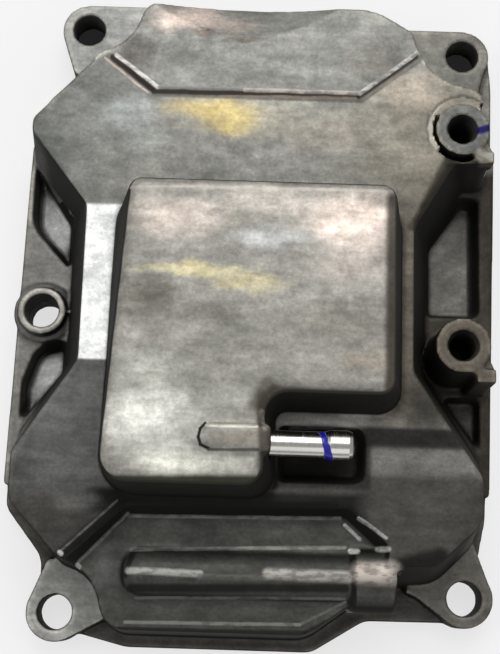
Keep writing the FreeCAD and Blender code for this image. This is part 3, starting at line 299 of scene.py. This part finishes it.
# The moat round the upper tapped boss: how much of it stays open
MOAT_CENTRE = (53.0, 46.5)
MOAT_FLOOR_Z = 27.0
MOAT_RING_R = 6.7
MOAT_GREY_R = 6.8
MOAT_OPEN_R = 7.7
MOAT_RIM_R = 9.6
MOAT_SHUT_TURN = (35.0, 150.0)
MOAT_LOW_TURN = -135.0
MOAT_EAST_X = 58.0
MOAT_FLOOR_GRACE = 0.5
MOAT_FILL_PROUD = 0.2

# How far off a face the ray starts that looks for metal above it
ROOF_RAY_LIFT = 0.3

# Blue ring on the nipple: a place on its middle, its slant, and the half widths at which it has
# ended and at which it is full
PAINT_RING_AT = (17.7, -37.8)
PAINT_RING_SLANT = 0.3
PAINT_RING_HALF = (1.05, 0.75)

# Painted shadow spots on the floor under the two northern holes: centre and radius, then the
# darkest share of the radius
FLOOR_SHADOW_SPOTS = [((-49.5, 81.5), 8.0), ((56.5, 77.0), 8.0)]
FLOOR_SPOT_CORE = 0.8
FLOOR_SIZE = 6000.0
FLOOR_DROP = 0.2

# The mix node's two colour sockets and the range node's sockets for vectors
MIX_A, MIX_B = 6, 7
RANGE_VALUE, RANGE_FROM, RANGE_TO = 6, 7, 8


class Material:
    """A node material, with short methods for the nodes that the surfaces here are made of."""

    def __init__(self, name):
        self.material = bpy.data.materials.new(name)
        self.material.use_nodes = True
        self.tree = self.material.node_tree
        self.shader = self.tree.nodes["Principled BSDF"]
        place = self.node("ShaderNodeTexCoord").outputs["Object"]
        self.place = self.vector("MULTIPLY", place, (1.0 / MM, 1.0 / MM, 1.0 / MM))

    def node(self, kind, **settings):
        made = self.tree.nodes.new(kind)
        for key, value in settings.items():
            setattr(made, key, value)
        return made

    def feed(self, socket, value):
        """Links another node's output, or sets a number, a vector or a colour."""
        if isinstance(value, bpy.types.NodeSocket):
            self.tree.links.new(value, socket)
        elif socket.type == "RGBA":
            socket.default_value = (*value, 1.0)
        else:
            socket.default_value = value

    def vector(self, operation, first, second=(0.0, 0.0, 0.0)):
        made = self.node("ShaderNodeVectorMath", operation=operation)
        self.feed(made.inputs[0], first)
        self.feed(made.inputs[1], second)
        return made.outputs["Value" if operation in ("LENGTH", "DISTANCE") else "Vector"]

    def math(self, operation, first, second=0.0):
        made = self.node("ShaderNodeMath", operation=operation)
        self.feed(made.inputs[0], first)
        self.feed(made.inputs[1], second)
        return made.outputs[0]

    def noise(self, size, detail=3.0, roughness=0.6, stretch=(1.0, 1.0, 1.0), seed=0.0):
        """Noise with features about this size, longer along an axis by its stretch."""
        scaled = self.vector("DIVIDE", self.place, tuple(size * s for s in stretch))
        moved = self.vector("ADD", scaled, (seed, seed * 1.7, seed * 0.6))
        made = self.node("ShaderNodeTexNoise")
        self.feed(made.inputs["Vector"], moved)
        made.inputs["Scale"].default_value = 1.0
        made.inputs["Detail"].default_value = detail
        made.inputs["Roughness"].default_value = roughness
        return made.outputs["Fac"]

    def ramp(self, value, low, high, out_low=0.0, out_high=1.0, smooth=True):
        kind = "SMOOTHSTEP" if smooth else "LINEAR"
        made = self.node("ShaderNodeMapRange", interpolation_type=kind)
        self.feed(made.inputs["Value"], value)
        made.inputs["From Min"].default_value = low
        made.inputs["From Max"].default_value = high
        made.inputs["To Min"].default_value = out_low
        made.inputs["To Max"].default_value = out_high
        return made.outputs["Result"]

    def mix(self, factor, first, second, blend="MIX"):
        made = self.node("ShaderNodeMix", data_type="RGBA", blend_type=blend)
        self.feed(made.inputs["Factor"], factor)
        self.feed(made.inputs[MIX_A], first)
        self.feed(made.inputs[MIX_B], second)
        return made.outputs[2]

    def parts(self, value):
        """X, Y and Z of a vector."""
        made = self.node("ShaderNodeSeparateXYZ")
        self.feed(made.inputs[0], value)
        return made.outputs

    def combine(self, x, y, z):
        made = self.node("ShaderNodeCombineXYZ")
        for socket, value in zip(made.inputs, (x, y, z)):
            self.feed(socket, value)
        return made.outputs[0]

    def shaded(self, colour, shade):
        """A colour times a number."""
        return self.mix(1.0, colour, self.combine(shade, shade, shade), "MULTIPLY")

    def shift(self, reach, size, seed):
        """Places in plan, pushed about by noise, so that what is drawn with them has ragged rims."""
        noise = self.noise(size, 4.0, 0.6, (1.8, 1.0, 1.0), seed)
        push = self.ramp(noise, 0.0, 1.0, -reach, reach, False)
        moved = self.vector("ADD", self.place, self.combine(push, push, 0.0))
        return self.vector("MULTIPLY", moved, (1.0, 1.0, 0.0))

    def patch(self, plan, centre, half_sizes, strength):
        """Soft oval round a centre, seen from above."""
        shares = (1.0 / half_sizes[0], 1.0 / half_sizes[1], 0.0)
        offset = self.vector("SUBTRACT", plan, (*centre, 0.0))
        apart = self.vector("LENGTH", self.vector("MULTIPLY", offset, shares))
        return self.ramp(apart, 1.0, PATCH_CORE, 0.0, strength)

    def window(self, low, high, soft):
        """Soft-edged upright box between two corners."""
        half = (Vector(high) - Vector(low)) / 2
        offset = self.vector("SUBTRACT", self.place, tuple(Vector(low) + half))
        edge = self.node("ShaderNodeMapRange", data_type="FLOAT_VECTOR")
        edge.interpolation_type = "SMOOTHSTEP"
        self.feed(edge.inputs[RANGE_VALUE], self.vector("ABSOLUTE", offset))
        edge.inputs[RANGE_FROM].default_value = half + Vector(soft)
        edge.inputs[RANGE_TO].default_value = half - Vector(soft)
        x, y, z = self.parts(edge.outputs[1])
        return self.math("MULTIPLY", self.math("MULTIPLY", x, y), z)

    def level(self, low, high):
        """Soft-edged band of heights."""
        height = self.parts(self.place)["Z"]
        above = self.ramp(height, low - LEVEL_SOFT, low + LEVEL_SOFT)
        below = self.ramp(height, high + LEVEL_SOFT, high - LEVEL_SOFT)
        return self.math("MULTIPLY", above, below)

    def stroke(self, plan, start, end, width, strength):
        """Thin soft line between two places, seen from above."""
        way = Vector((end[0] - start[0], end[1] - start[1], 0.0))
        offset = self.vector("SUBTRACT", plan, (*start, 0.0))
        along = self.node("ShaderNodeVectorMath", operation="DOT_PRODUCT")
        self.feed(along.inputs[0], offset)
        self.feed(along.inputs[1], tuple(way / way.length_squared))
        share = self.node("ShaderNodeClamp")
        self.feed(share.inputs[0], along.outputs["Value"])
        nearest = self.node("ShaderNodeVectorMath", operation="SCALE")
        self.feed(nearest.inputs[0], tuple(way))
        self.feed(nearest.inputs["Scale"], share.outputs[0])
        apart = self.vector("DISTANCE", offset, nearest.outputs[0])
        return self.ramp(apart, width * STROKE_EDGE, width * STROKE_CORE, 0.0, strength)

    def disc(self, centre, radius, soft=0.4):
        """Upright cylinder with a soft edge."""
        offset = self.vector("SUBTRACT", self.place, (*centre, 0.0))
        flat = self.vector("MULTIPLY", offset, (1.0, 1.0, 0.0))
        return self.ramp(self.vector("LENGTH", flat), radius + soft, radius - soft)

    def convex(self, reach):
        """Outer edges and corners, found by looking for nearby faces from inside the metal."""
        made = self.node("ShaderNodeAmbientOcclusion", samples=6, inside=True)
        made.inputs["Distance"].default_value = reach * MM
        return self.ramp(made.outputs["AO"], 0.92, 0.62)

    def upward(self):
        """How far the surface faces up, 1 on a level face and 0 on an upright wall."""
        return self.parts(self.node("ShaderNodeNewGeometry").outputs["Normal"])["Z"]

    def openness(self, reach):
        """1 on an open face, less where other faces stand within reach."""
        made = self.node("ShaderNodeAmbientOcclusion", samples=8)
        made.inputs["Distance"].default_value = reach * MM
        return made.outputs["AO"]

    def bump(self, height, strength, depth):
        made = self.node("ShaderNodeBump")
        self.feed(made.inputs["Height"], height)
        made.inputs["Strength"].default_value = strength
        made.inputs["Distance"].default_value = depth * MM
        self.feed(self.shader.inputs["Normal"], made.outputs[0])

    def blend(self, factor, first, second):
        """One shader's output fading into another's."""
        made = self.node("ShaderNodeMixShader")
        for socket, value in zip(made.inputs, (factor, first, second)):
            self.feed(socket, value)
        return made.outputs[0]

    def finish(self, colour, roughness, metallic):
        self.feed(self.shader.inputs["Base Color"], colour)
        self.feed(self.shader.inputs["Roughness"], roughness)
        self.feed(self.shader.inputs["Metallic"], metallic)
        return self.material


def drawn(m, colour, lines, plan, masks):
    """Draws lines on the casting's skin, each within its level."""
    for span, start, end, width, tint, strength in lines:
        line = m.stroke(plan, start, end, width, strength)
        colour = m.mix(m.math("MULTIPLY", line, masks[span]), colour, tint)
    return colour


def cast_aluminium():
    """Raw die casting: clouded grey skin, stains and painted sheen, painted black shade on steep
    walls and in corners, and edges brightened as wear and as painted highlight.
    """
    m = Material("cast_aluminium")
    m.shader.inputs["Specular IOR Level"].default_value = CAST_SPECULAR
    ragged = m.shift(5.0, 8.0, 6.0)
    wavy = m.shift(0.3, 5.0, 2.0)
    spans = (BOX, DECK, LOBE, SCOOP, STEP, SOUTH_DECK, SOUTH, BLUE)
    masks = {span: m.level(*span) for span in spans}

    # Tones, stains and mottling, with painted shade, sheen and reflections among the tones and
    # patches
    colour = SKIN
    for low, high, soft, tone in ZONES.values():
        colour = m.mix(m.window(low, high, soft), colour, tone)
    for span, centre, half_sizes, tint, strength in STAINS_AND_PAINTED_LIGHT:
        spot = m.patch(ragged, centre, half_sizes, strength)
        colour = m.mix(m.math("MULTIPLY", spot, masks[span]), colour, tint)
    ring = m.math("MULTIPLY", m.disc(MOAT_CENTRE, MOAT_GREY_R), masks[BLUE])
    colour = m.mix(ring, colour, RING_GREY)
    for size, detail, stretch, seed, spread in MOTTLES:
        clouds = m.noise(size, detail, 0.62, stretch, seed)
        colour = m.shaded(colour, m.ramp(clouds, 0.32, 0.68, 1.0 - spread, 1.0 + spread, False))

    # The plain inside, steep outer walls painted near black as shade, and painted shade in inner
    # corners
    hidden = m.node("ShaderNodeAttribute", attribute_name="roofed").outputs["Fac"]
    colour = m.mix(hidden, colour, PLAIN_CAST)
    upward = m.upward()
    steep = m.math("MULTIPLY", m.ramp(upward, 0.86, 0.55), m.math("SUBTRACT", 1.0, hidden))
    seen = m.ramp(m.window(*SEEN_WALLS), 0.0, 1.0, 0.72, 0.97, False)
    colour = m.mix(m.math("MULTIPLY", steep, seen), colour, SHADE_BLACK)
    outside = m.ramp(hidden, 0.0, 1.0, 0.82, 0.25, False)
    # Painted shade in corners and recesses where other faces stand close
    shut = m.math("MULTIPLY", m.ramp(m.openness(4.0), 0.78, 0.42), outside)
    colour = m.mix(shut, colour, SHADE_BLACK)

    # Edges brightened, partly as wear and partly as painted highlight, then painted shadow lines
    # and painted highlight lines
    edge_breakup = m.ramp(m.noise(7.0, 3.0, seed=5.0), 0.34, 0.62, 0.35, 1.0)
    worn_and_lit_edges = m.math("MULTIPLY", m.convex(1.7), edge_breakup)
    bright = m.mix(1.0, colour, WEAR_AND_HIGHLIGHT_GAIN, "MULTIPLY")
    colour = m.mix(m.math("MULTIPLY", worn_and_lit_edges, m.ramp(upward, 0.45, 0.8)), colour, bright)
    colour = drawn(m, colour, SHADOWS_AND_BLUE_MARK, wavy, masks)
    broken = m.ramp(m.noise(1.7, 3.0, 0.6, (2.0, 1.0, 1.0), 21.0), 0.38, 0.58, 0.45, 1.0)
    # Painted highlight lines, broken up by noise
    highlight_masks = {span: m.math("MULTIPLY", masks[span], broken) for span in spans}
    colour = drawn(m, colour, HIGHLIGHT_LINES, wavy, highlight_masks)

    roughness = m.ramp(m.noise(4.0, 3.0, seed=2.0), 0.3, 0.7, 0.42, 0.56, False)
    roughness = m.math("MAXIMUM", roughness, m.math("MULTIPLY", steep, 0.85))
    metallic = m.ramp(steep, 0.0, 1.0, 0.55, 0.0, False)
    m.bump(m.noise(0.9, 3.0, 0.7, seed=7.0), 0.3, 0.12)
    return m.finish(colour, roughness, metallic)


def steel(name, colour, roughness, grain_stretch, grain=0.12):
    """Drawn or rolled steel with fine lines along one axis and a few dull specks."""
    m = Material(name)
    lines = m.noise(0.5, 3.0, 0.6, grain_stretch, 1.0)
    tint = m.shaded(colour, m.ramp(lines, 0.3, 0.7, 1.0 - grain, 1.0 + grain, False))
    specks = m.ramp(m.noise(1.4, 3.0, 0.7, seed=4.0), 0.62, 0.75)
    tint = m.mix(m.math("MULTIPLY", specks, 0.4), tint, DULL_STEEL)
    rough = m.ramp(lines, 0.3, 0.7, roughness - 0.05, roughness + 0.08, False)
    m.bump(lines, 0.08, 0.02)
    return m, tint, rough


def nipple_steel():
    """Bright plated tube with the ring of blue inspection paint just before its bead."""
    m, tint, rough = steel("nipple_steel", STEEL, 0.2, (1.0, 8.0, 8.0), 0.05)
    wobble = m.ramp(m.noise(2.5, 2.0, seed=8.0), 0.2, 0.8, -0.5, 0.5, False)
    x, y, _ = m.parts(m.place)
    place = m.math("ADD", m.math("ADD", x, m.math("MULTIPLY", y, PAINT_RING_SLANT)), wobble)
    middle = PAINT_RING_AT[0] + PAINT_RING_SLANT * PAINT_RING_AT[1]
    off = m.math("ABSOLUTE", m.math("SUBTRACT", place, middle))
    ring = m.ramp(off, *PAINT_RING_HALF)
    tint = m.mix(ring, tint, PAINT_BLUE)
    metallic = m.ramp(ring, 0.0, 1.0, 1.0, 0.0, False)
    return m.finish(tint, rough, metallic)


def plain_steel(name, colour, roughness, grain_stretch):
    """Bare steel all over."""
    m, tint, rough = steel(name, colour, roughness, grain_stretch)
    return m.finish(tint, rough, 1.0)


def gasket(name, colour, size):
    """Rubber or pressed fibre with a fine matt grain."""
    m = Material(name)
    grain = m.noise(size, 3.0, 0.7)
    tint = m.shaded(colour, m.ramp(grain, 0.3, 0.7, 0.75, 1.3, False))
    m.bump(grain, 0.4, 0.05)
    return m.finish(tint, m.ramp(grain, 0.3, 0.7, 0.55, 0.75, False), 0.0)


def wire_mesh():
    """Knitted wire: two crossing wave patterns, dark between the wires."""
    m = Material("wire_mesh")
    heights = []
    for direction in ("X", "Y"):
        wave = m.node("ShaderNodeTexWave", bands_direction=direction)
        m.feed(wave.inputs["Vector"], m.place)
        wave.inputs["Scale"].default_value = 0.35
        wave.inputs["Distortion"].default_value = 2.5
        heights.append(wave.outputs["Fac"])
    knit = m.math("MAXIMUM", heights[0], heights[1])
    tint = m.mix(m.ramp(knit, 0.4, 0.9), BETWEEN_WIRES, DULL_STEEL)
    m.bump(knit, 0.8, 0.3)
    return m.finish(tint, 0.4, 0.9)


def softened(node, name):
    """Copy of a CAD node with its edges rounded as a casting's are."""
    mesh = node.data.copy()
    piece = bpy.data.objects.new(name, mesh)
    bpy.context.scene.collection.objects.link(piece)
    weld = piece.modifiers.new("weld", "WELD")
    weld.merge_threshold = WELD * MM
    remesh = piece.modifiers.new("remesh", "REMESH")
    remesh.mode = "VOXEL"
    remesh.voxel_size = VOXEL * MM
    remesh.use_smooth_shade = True
    smooth = piece.modifiers.new("smooth", "SMOOTH")
    smooth.factor = SOFTEN_FACTOR
    smooth.iterations = SOFTEN_STEPS
    apply_modifiers(piece)
    triangles = sum(len(p.vertices) - 2 for p in piece.data.polygons)
    if triangles > TRIANGLE_LIMIT:
        thin = piece.modifiers.new("thin", "DECIMATE")
        thin.ratio = TRIANGLE_LIMIT / triangles
        apply_modifiers(piece)
    return piece


def narrow_moat(piece):
    """Fills the upper boss's moat where the deck closes in on the ring, and its outer rim from the
    north-east round by the west to the south-west.
    """
    for vertex in piece.data.vertices:
        x, y, z = (part / MM for part in vertex.co)
        apart = math.dist((x, y), MOAT_CENTRE)
        level = MOAT_FLOOR_Z - MOAT_FLOOR_GRACE < z < DECK_Z and x < MOAT_EAST_X
        turn = math.degrees(math.atan2(y - MOAT_CENTRE[1], x - MOAT_CENTRE[0]))
        shut = MOAT_SHUT_TURN[0] < turn < MOAT_SHUT_TURN[1] and apart > MOAT_RING_R
        rim = (turn > MOAT_SHUT_TURN[0] or turn < MOAT_LOW_TURN) and apart > MOAT_OPEN_R
        if level and apart < MOAT_RIM_R and (shut or rim):
            vertex.co.z = (DECK_Z + MOAT_FILL_PROUD) * MM
    piece.data.update()


def left_of_line(x, y, start, end):
    """How far a place lies to the left of the line from start to end."""
    cross = (end[0] - start[0]) * (y - start[1]) - (end[1] - start[1]) * (x - start[0])
    return cross / math.dist(start, end)


def plane_step(piece):
    """Takes the skin south of the lobe's step down to the deck."""
    segments = list(zip(STEP_TOP[:-1], STEP_TOP[1:]))
    for vertex in piece.data.vertices:
        x, y, z = (part / MM for part in vertex.co)
        beside = y < STEP_FROM_Y or abs(x) > STEP_REACH_X
        if beside or z < DECK_Z - SKIN_GRACE or vertex.normal.z < 0.0:
            continue
        north = min(left_of_line(x, y, a, b) for a, b in segments)
        share = min(max(north / STEP_WIDTH + 1.0, 0.0), 1.0)
        deck = DECK_Z + DECK_TILT * (y - DECK_FROM_Y)
        vertex.co.z = min(z, deck + (LOBE_Z - deck) * share) * MM
    piece.data.update()


def mark_roofed(piece):
    """Marks the faces that have metal above them: the cover's inside."""
    mesh = piece.data
    corners = [vertex.co for vertex in mesh.vertices]
    skin = BVHTree.FromPolygons(corners, [face.vertices for face in mesh.polygons])
    lift = ROOF_RAY_LIFT * MM
    up = Vector((0.0, 0.0, 1.0))
    marks = mesh.attributes.new("roofed", "FLOAT", "FACE")
    for face in mesh.polygons:
        hit = skin.ray_cast(face.center + face.normal * lift, up)[0]
        marks.data[face.index].value = 0.0 if hit is None else 1.0


def apply_modifiers(piece):
    """Gives a piece the mesh that its modifiers make, and takes them off."""
    bpy.context.view_layer.update()
    whole = piece.evaluated_get(bpy.context.evaluated_depsgraph_get())
    old = piece.data
    piece.data = bpy.data.meshes.new_from_object(whole)
    piece.modifiers.clear()
    bpy.data.meshes.remove(old)


def paint(piece, material):
    """Gives one of this script's own pieces its only material."""
    piece.data.materials.clear()
    piece.data.materials.append(material)


def dress(node, material):
    """Gives a carried-over CAD node its material, by the object's own slots."""
    for slot in node.material_slots:
        slot.link = "OBJECT"
        slot.material = material


def floor_material():
    """Pale floor that is near white in the picture, keeps the object's shadow, has painted shadow
    spots under the two northern holes and can be seen through from below."""
    m = Material("floor")
    tint = FLOOR
    for centre, radius in FLOOR_SHADOW_SPOTS:
        apart = m.vector("DISTANCE", m.place, (*centre, 0.0))
        open_floor = m.ramp(apart, FLOOR_SPOT_CORE * radius, radius, smooth=False)
        tint = m.mix(open_floor, FLOOR_SHADOW, tint)
    diffuse = m.node("ShaderNodeBsdfDiffuse")
    m.feed(diffuse.inputs["Color"], tint)
    glow = m.node("ShaderNodeEmission")
    m.feed(glow.inputs["Color"], tint)
    rays = m.node("ShaderNodeLightPath").outputs
    seen = m.math("MAXIMUM", rays["Is Camera Ray"], rays["Is Transmission Ray"])
    seen = m.math("MAXIMUM", seen, rays["Is Glossy Ray"])
    share = m.math("MULTIPLY", seen, FLOOR_GLOW)
    top = m.blend(share, diffuse.outputs[0], glow.outputs[0])
    below = m.node("ShaderNodeNewGeometry").outputs["Backfacing"]
    whole = m.blend(below, top, m.node("ShaderNodeBsdfTransparent").outputs[0])
    m.feed(m.tree.nodes["Material Output"].inputs["Surface"], whole)
    m.tree.nodes.remove(m.shader)
    return m.material


def add_floor():
    """Lays the floor just under the frame's ground level."""
    bpy.ops.mesh.primitive_plane_add(size=FLOOR_SIZE * MM, location=(0.0, 0.0, -FLOOR_DROP * MM))
    floor = bpy.context.object
    floor.name = "floor"
    floor.data.materials.append(floor_material())


def add_camera():
    """Puts the camera where the photograph was taken from."""
    data = bpy.data.cameras.new("photo_camera")
    data.sensor_width = SENSOR
    data.lens = FOCAL_PIXELS * SENSOR / IMAGE_LONG_SIDE
    data.clip_start = 0.01
    camera = bpy.data.objects.new("photo_camera", data)
    bpy.context.scene.collection.objects.link(camera)
    back = Vector((0.0, -math.sin(CAMERA_TILT), math.cos(CAMERA_TILT)))
    level = Vector((1.0, 0.0, 0.0))
    rise = back.cross(level)
    right = level * math.cos(CAMERA_ROLL) + rise * math.sin(CAMERA_ROLL)
    up = rise * math.cos(CAMERA_ROLL) - level * math.sin(CAMERA_ROLL)
    place = (Vector(CAMERA_TARGET) + back * CAMERA_DISTANCE) * MM
    turn = Matrix((right, up, back)).transposed().to_4x4()
    camera.matrix_world = Matrix.Translation(place) @ turn
    bpy.context.scene.camera = camera


def add_lamp(name, azimuth, elevation, distance, size, power):
    """Square soft lamp aimed at the object; azimuth 0 is the camera's side and 180 the far side."""
    data = bpy.data.lights.new(name, "AREA")
    data.shape = "SQUARE"
    data.size = size
    data.energy = power
    lamp = bpy.data.objects.new(name, data)
    bpy.context.scene.collection.objects.link(lamp)
    a = math.radians(azimuth)
    e = math.radians(elevation)
    way = Vector((math.sin(a) * math.cos(e), -math.cos(a) * math.cos(e), math.sin(e)))
    lamp.location = way * distance
    lamp.rotation_euler = way.to_track_quat("Z", "Y").to_euler()


def add_light():
    """Even white sky and three soft lamps."""
    world = bpy.data.worlds.new("studio")
    bpy.context.scene.world = world
    world.use_nodes = True
    sky = world.node_tree.nodes["Background"]
    sky.inputs["Color"].default_value = (*SKY, 1.0)
    sky.inputs["Strength"].default_value = SKY_STRENGTH
    for name, settings in LAMPS.items():
        add_lamp(name, *settings)


def main():
    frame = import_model()
    nodes = frame["nodes"]
    casting = softened(nodes["cover_casting"], "casting_softened")
    plane_step(casting)
    narrow_moat(casting)
    mark_roofed(casting)
    paint(casting, cast_aluminium())
    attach(casting, "root")
    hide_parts("cover_casting")
    plated = plain_steel("plated_steel", STEEL, 0.28, (1.0, 1.0, 1.0))
    sheet = plain_steel("sheet_steel", DULL_STEEL, 0.42, (1.0, 9.0, 1.0))
    finishes = {
        "breather_tube": nipple_steel(),
        "gallery_plug": plated,
        "sealing_gasket": gasket("moulded_rubber", RUBBER, 0.6),
        "baffle_gasket": gasket("gasket_paper", PAPER, 0.4),
        "baffle_plate": sheet,
        "baffle_screws": plated,
        "reed_valve": plain_steel("spring_steel", SPRING, 0.3, (1.0, 9.0, 1.0)),
        "reed_stopper": sheet,
        "reed_screw": plated,
        "reed_nut": plated,
        "oil_filter": wire_mesh(),
    }
    for name, material in finishes.items():
        dress(nodes[name], material)
    add_floor()
    add_camera()
    add_light()
    bpy.context.scene.view_settings.view_transform = "Standard"


main()
